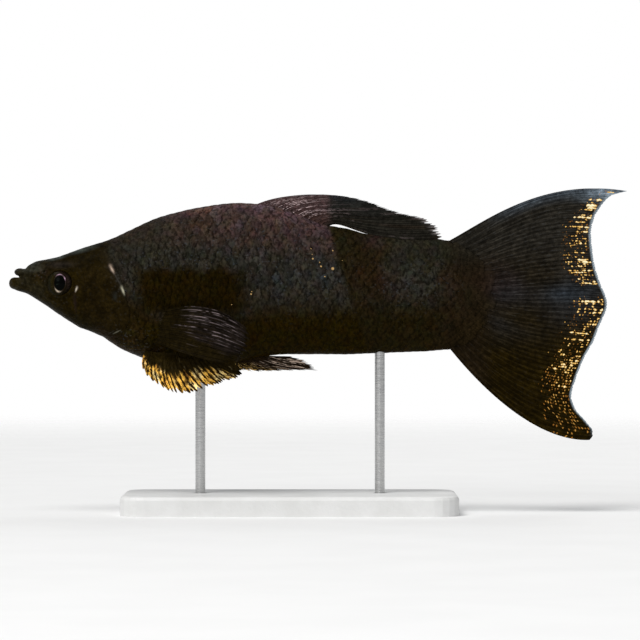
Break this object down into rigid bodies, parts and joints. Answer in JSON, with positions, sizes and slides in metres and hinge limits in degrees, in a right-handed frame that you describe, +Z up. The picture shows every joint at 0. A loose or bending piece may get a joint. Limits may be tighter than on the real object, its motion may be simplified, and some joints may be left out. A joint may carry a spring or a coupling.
{
  "type": "lyretail molly model",
  "caption": "Still, life-size model of a black lyretail molly in a swimming pose, with folded back fin and spread yellow belly fins, on a plain flat stand with thin rods.",
  "frame": {"origin": "on the surface the stand rests on, under the middle of the model's box", "axes": "-X towards the fish's snout, +X towards its tail, -Y towards its left side, +Z up"},
  "size_m": [0.0999, 0.026, 0.0524],
  "materials": {
    "skin": "near-black scaled skin with a damp, satin shine",
    "eye": "clear glossy cornea over a black pupil and a thin pale ring",
    "fin": "thin black rayed membrane, gold flecks near the tail's rim",
    "fin_gold": "thin yellow rayed membrane with dark streaks",
    "stand_base": "satin off-white powder coat",
    "stand_rod": "fine brushed"
  },
  "bodies": {
    "root": {"head": "skin", "upper_jaw": "skin", "lower_jaw": "skin", "trunk": "skin", "tail_stalk": "skin", "eye_left": "eye", "eye_right": "eye", "tail_fin": "fin", "dorsal_fin": "fin", "pectoral_fin_left": "fin", "pectoral_fin_right": "fin", "pelvic_fin_left": "fin_gold", "pelvic_fin_right": "fin_gold", "anal_fin": "fin_gold", "stand_base": "stand_base", "stand_rod_front": "stand_rod", "stand_rod_rear": "stand_rod"}
  },
  "joints": []
}
